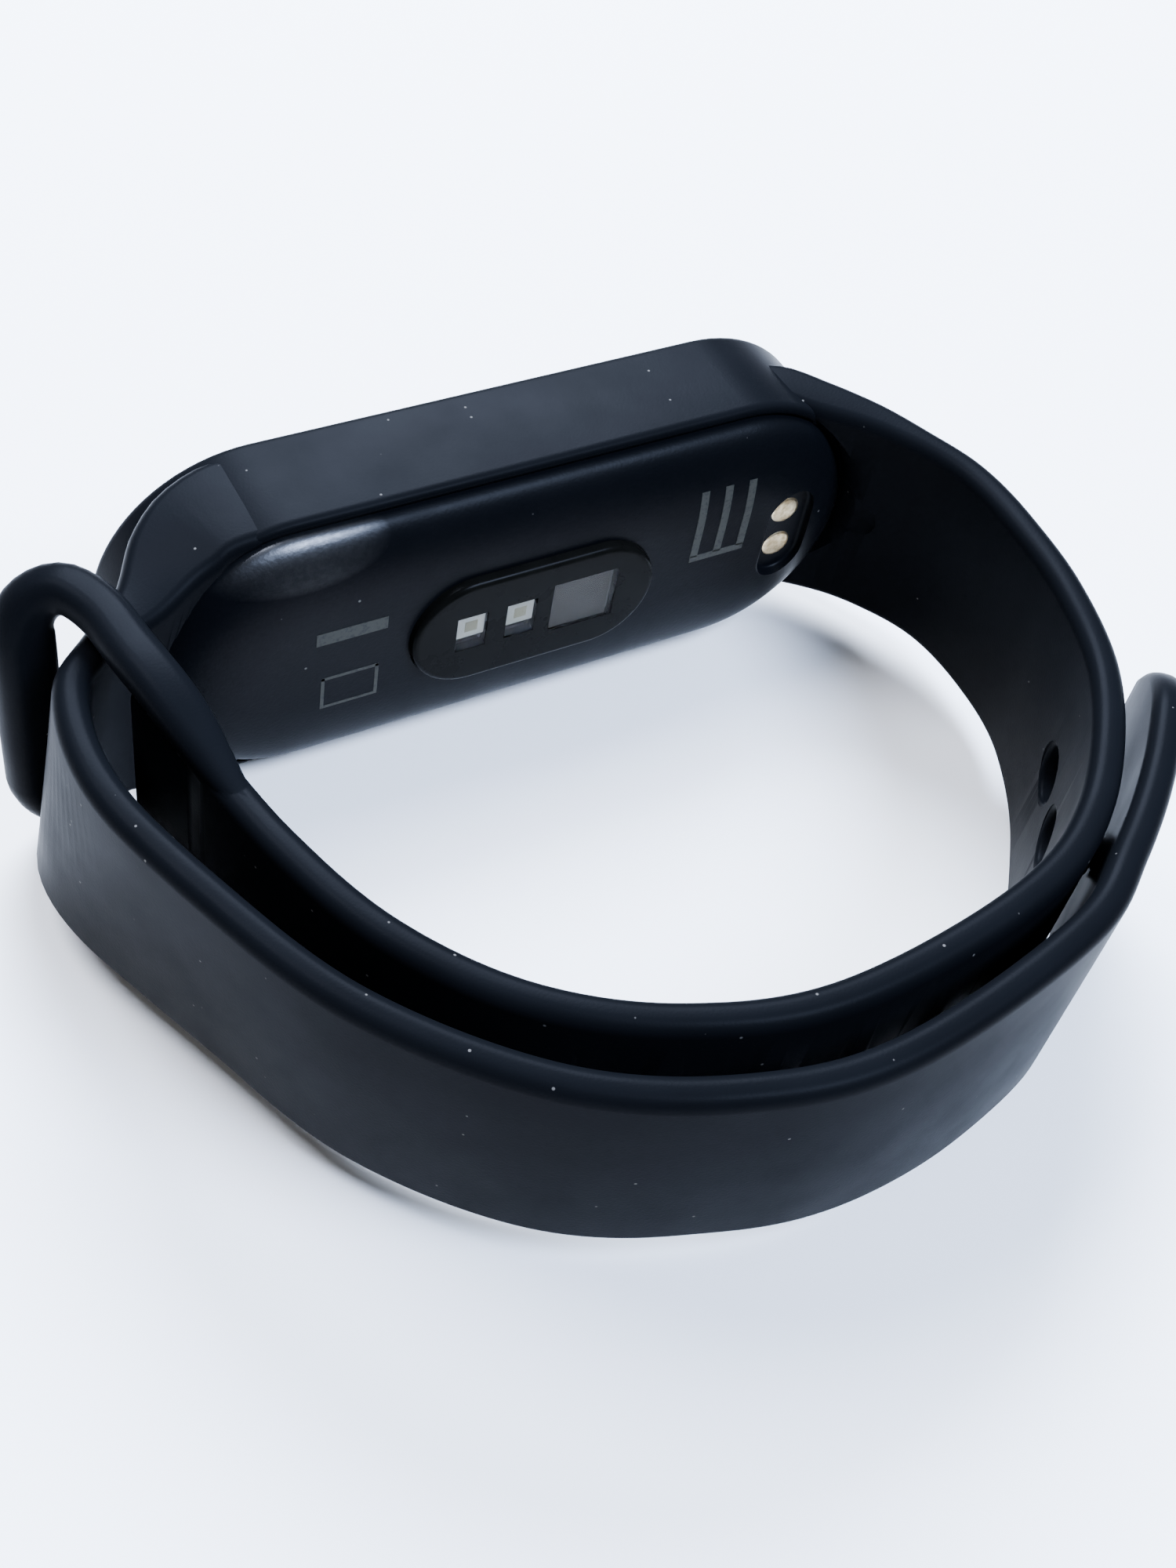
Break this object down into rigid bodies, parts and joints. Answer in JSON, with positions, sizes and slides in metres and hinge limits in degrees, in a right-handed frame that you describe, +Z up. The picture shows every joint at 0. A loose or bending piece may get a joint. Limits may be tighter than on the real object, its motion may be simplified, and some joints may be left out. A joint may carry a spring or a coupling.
{
  "type": "fitness tracker band",
  "caption": "Soft wrist strap closed round as worn, holding a pill-shaped tracker capsule with a raised optical sensor and round charging pads on its skin side.",
  "frame": {"origin": "middle of the frame's lower long side; the band lies on its edge, so this face looks down", "axes": "+Z up along the wrist axis, +X along the capsule towards its charging contacts, +Y out of the display"},
  "size_m": [0.0621, 0.05, 0.021],
  "materials": {
    "strap": "black matte soft-touch strap elastomer, fine grain",
    "clasp": "black moulded clasp plastic",
    "housing": "black satin plastic with fine spark grain, worn on the rounded edge",
    "mask": "black ink under the lens",
    "sensor_lens": "clear lens, lightly scratched",
    "barrier": "matt black moulding",
    "white_package": "white light package",
    "die": "yellowish coated die",
    "photodiode": "taupe diode face",
    "board": "green solder mask",
    "gold": "pale gold plating",
    "seal": "dark silicone",
    "flex": "amber polyimide film",
    "nickel": "nickel-plated steel",
    "cell_foil": "dull laminate foil",
    "tape": "pale adhesive foam",
    "tape_black": "black adhesive film",
    "carrier": "dark grey moulding",
    "chip": "black moulding compound",
    "connector": "ivory connector plastic",
    "tungsten": "sintered heavy metal",
    "display": "unlit display",
    "touch_film": "clear film",
    "cover_glass": "dark polished glass, edge scuffed"
  },
  "bodies": {
    "strap": {"strap_frame": "strap", "loop_strap": "strap", "strap_loop": "strap", "stud_strap_root": "strap"},
    "stud_tail": {"stud_strap_tail": "strap", "clasp_button": "clasp", "clasp_head": "clasp"},
    "capsule": {"capsule_housing": "housing", "lens_mask": "mask", "sensor_lens": "sensor_lens", "optical_barrier": "barrier", "light_packages": "white_package", "light_dies": "die", "photodiode": "photodiode", "sensor_board": "board", "charge_contacts": "gold", "contact_seals": "seal", "contact_flex": "flex", "charger_magnets": "nickel", "battery_cell": "cell_foil", "battery_adhesive": "tape", "battery_board": "board", "mid_frame": "carrier", "main_board": "board", "rf_shield": "nickel", "board_chips": "chip", "board_connectors": "connector", "antenna": "gold", "motor_cradle": "seal", "motor_can": "nickel", "motor_pin": "nickel", "display_panel": "display", "display_flex": "flex", "touch_film": "touch_film", "glass_adhesive": "tape_black", "cover_glass": "cover_glass"},
    "motor_rotor": {"motor_weight": "tungsten"}
  },
  "joints": [
    {"name": "tail_peel", "type": "hinge", "parent": "strap", "child": "stud_tail", "pos_m": [0.012, -0.04241, 0.00962], "axis": [0, 0, -1], "range_deg": [0, 40], "stiffness_Nm_per_rad": 0.005},
    {"name": "capsule_release", "type": "slide", "parent": "strap", "child": "capsule", "axis": [0, 1, 0], "range_m": [0, 0.014]},
    {"name": "motor_spin", "type": "hinge", "parent": "capsule", "child": "motor_rotor", "pos_m": [-0.017, -0.00135, 0.00962], "axis": [0, 1, 0], "continuous": true}
  ]
}
